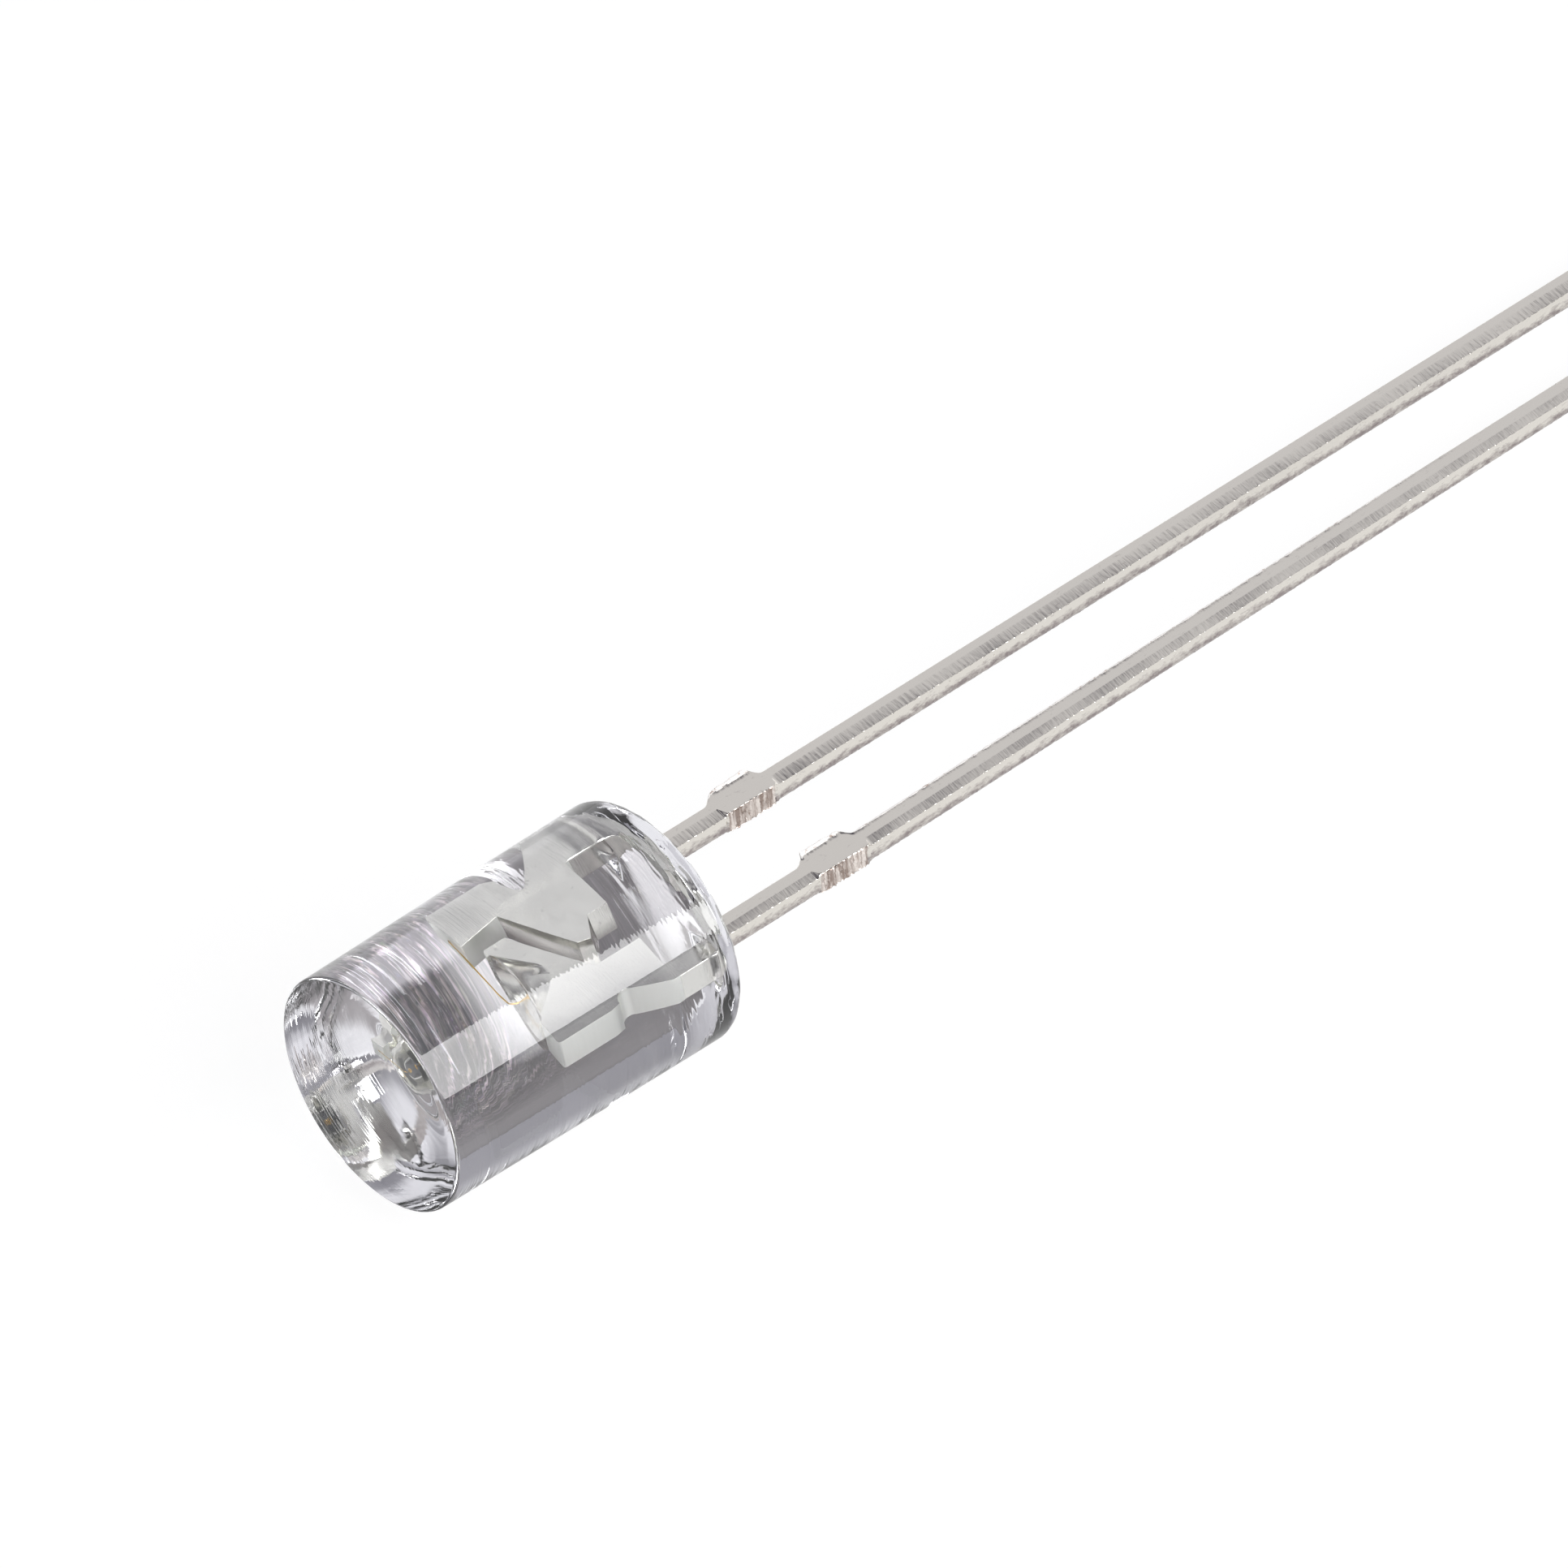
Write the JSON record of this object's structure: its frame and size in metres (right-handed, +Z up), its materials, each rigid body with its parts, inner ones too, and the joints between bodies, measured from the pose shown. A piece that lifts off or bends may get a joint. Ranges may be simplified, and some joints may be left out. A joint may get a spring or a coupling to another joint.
{
  "type": "through hole led",
  "caption": "Straight-sided clear through-hole LED with a hollow nose, a reflector cup inside and two long square leads, lying at rest on its base rim and lead tips.",
  "frame": {"origin": "middle of the footprint of the part lying at rest, on the table plane", "axes": "+Z up, +Y from the nose along the body towards the lead tips, +X across both leads from the anode to the cathode"},
  "size_m": [0.005, 0.0344, 0.0054],
  "materials": {
    "clear_epoxy": "clear cast epoxy, polished, faint mould marks",
    "tinned_steel": "bright tin plate over rolled steel, sheared edges",
    "chip": "sawn semiconductor crystal, smooth top",
    "die_attach": "cured silver-filled adhesive",
    "gold_wire": "drawn gold wire"
  },
  "bodies": {
    "root": {"lens_body": "clear_epoxy", "anode_lead": "tinned_steel", "cathode_lead": "tinned_steel", "led_chip": "chip", "chip_glue": "die_attach", "bond_wire": "gold_wire"}
  },
  "joints": []
}
